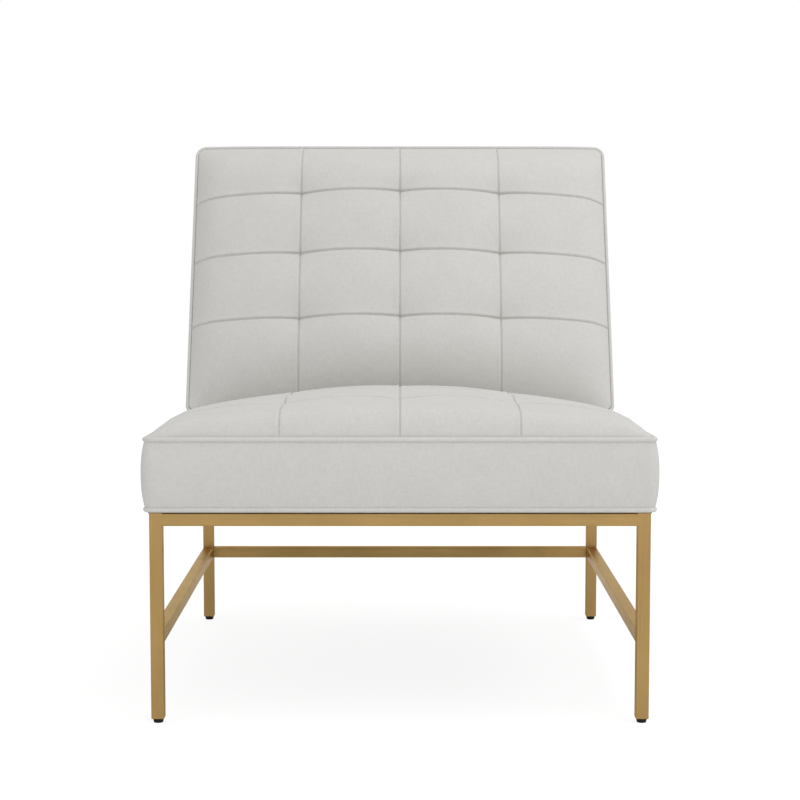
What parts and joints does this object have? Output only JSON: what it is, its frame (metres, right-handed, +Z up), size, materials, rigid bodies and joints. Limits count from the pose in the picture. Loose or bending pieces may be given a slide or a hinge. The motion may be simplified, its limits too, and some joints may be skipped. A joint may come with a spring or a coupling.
{
  "type": "lounge chair",
  "caption": "Armless upholstered lounge chair with a boxed seat, a leaning back sewn in square cells, and a square-tube metal base on levelling feet.",
  "frame": {"origin": "bottom centre of the whole chair's box, on the floor", "axes": "+Z up, the sitter faces -Y, +X is to the right as seen from the front"},
  "size_m": [0.6924, 0.8044, 0.8042],
  "materials": {
    "brushed_gold_steel": "satin",
    "woven_fabric": "matte",
    "black_nylon": "matte",
    "zinc_plated_steel": "satin",
    "spring_steel": "satin",
    "hardwood": "matte",
    "black_lining": "matte",
    "grey_felt": "matte",
    "webbing": "matte",
    "foam": "matte"
  },
  "bodies": {
    "chair": {"front_left_leg": "brushed_gold_steel", "front_right_leg": "brushed_gold_steel", "rear_left_leg": "brushed_gold_steel", "rear_right_leg": "brushed_gold_steel", "front_rail": "brushed_gold_steel", "rear_rail": "brushed_gold_steel", "left_side_rail": "brushed_gold_steel", "right_side_rail": "brushed_gold_steel", "left_side_stretcher": "brushed_gold_steel", "right_side_stretcher": "brushed_gold_steel", "rear_stretcher": "brushed_gold_steel", "corner_plates": "brushed_gold_steel", "leg_inserts": "black_nylon", "seat_bolts": "zinc_plated_steel", "seat_tee_nuts": "zinc_plated_steel", "back_brackets": "zinc_plated_steel", "bracket_screws": "zinc_plated_steel", "seat_springs": "spring_steel", "spring_clips": "spring_steel", "seat_front_board": "hardwood", "seat_rear_board": "hardwood", "seat_left_board": "hardwood", "seat_right_board": "hardwood", "seat_corner_blocks": "hardwood", "back_left_upright": "hardwood", "back_right_upright": "hardwood", "back_bottom_rail": "hardwood", "back_middle_rail": "hardwood", "back_top_rail": "hardwood", "dust_cover": "black_lining", "spring_felt": "grey_felt", "back_webbing": "webbing", "seat_foam": "foam", "back_foam": "foam", "seat_deck_cloth": "woven_fabric", "seat_quilted_top": "woven_fabric", "seat_boxing": "woven_fabric", "seat_top_welt": "woven_fabric", "seat_bottom_welt": "woven_fabric", "back_quilted_front": "woven_fabric", "back_boxing": "woven_fabric", "back_rear_panel": "woven_fabric", "back_front_welt": "woven_fabric", "back_rear_welt": "woven_fabric"},
    "front_left_pad": {"front_left_foot_pad": "black_nylon"},
    "front_left_stem": {"front_left_foot_stem": "zinc_plated_steel"},
    "front_right_pad": {"front_right_foot_pad": "black_nylon"},
    "front_right_stem": {"front_right_foot_stem": "zinc_plated_steel"},
    "rear_left_pad": {"rear_left_foot_pad": "black_nylon"},
    "rear_left_stem": {"rear_left_foot_stem": "zinc_plated_steel"},
    "rear_right_pad": {"rear_right_foot_pad": "black_nylon"},
    "rear_right_stem": {"rear_right_foot_stem": "zinc_plated_steel"}
  },
  "joints": [
    {"name": "front_left_foot_height", "type": "slide", "parent": "chair", "child": "front_left_pad", "axis": [0, 0, -1], "range_m": [0, 0.008]},
    {"name": "front_left_stem_turn", "type": "hinge", "parent": "front_left_pad", "child": "front_left_stem", "pos_m": [-0.32675, -0.38274, 0], "axis": [0, 0, -1], "range_deg": [0, 2880]},
    {"name": "front_right_foot_height", "type": "slide", "parent": "chair", "child": "front_right_pad", "axis": [0, 0, -1], "range_m": [0, 0.008]},
    {"name": "front_right_stem_turn", "type": "hinge", "parent": "front_right_pad", "child": "front_right_stem", "pos_m": [0.32675, -0.38274, 0], "axis": [0, 0, -1], "range_deg": [0, 2880]},
    {"name": "rear_left_foot_height", "type": "slide", "parent": "chair", "child": "rear_left_pad", "axis": [0, 0, -1], "range_m": [0, 0.008]},
    {"name": "rear_left_stem_turn", "type": "hinge", "parent": "rear_left_pad", "child": "rear_left_stem", "pos_m": [-0.32675, 0.29576, 0], "axis": [0, 0, -1], "range_deg": [0, 2880]},
    {"name": "rear_right_foot_height", "type": "slide", "parent": "chair", "child": "rear_right_pad", "axis": [0, 0, -1], "range_m": [0, 0.008]},
    {"name": "rear_right_stem_turn", "type": "hinge", "parent": "rear_right_pad", "child": "rear_right_stem", "pos_m": [0.32675, 0.29576, 0], "axis": [0, 0, -1], "range_deg": [0, 2880]}
  ]
}
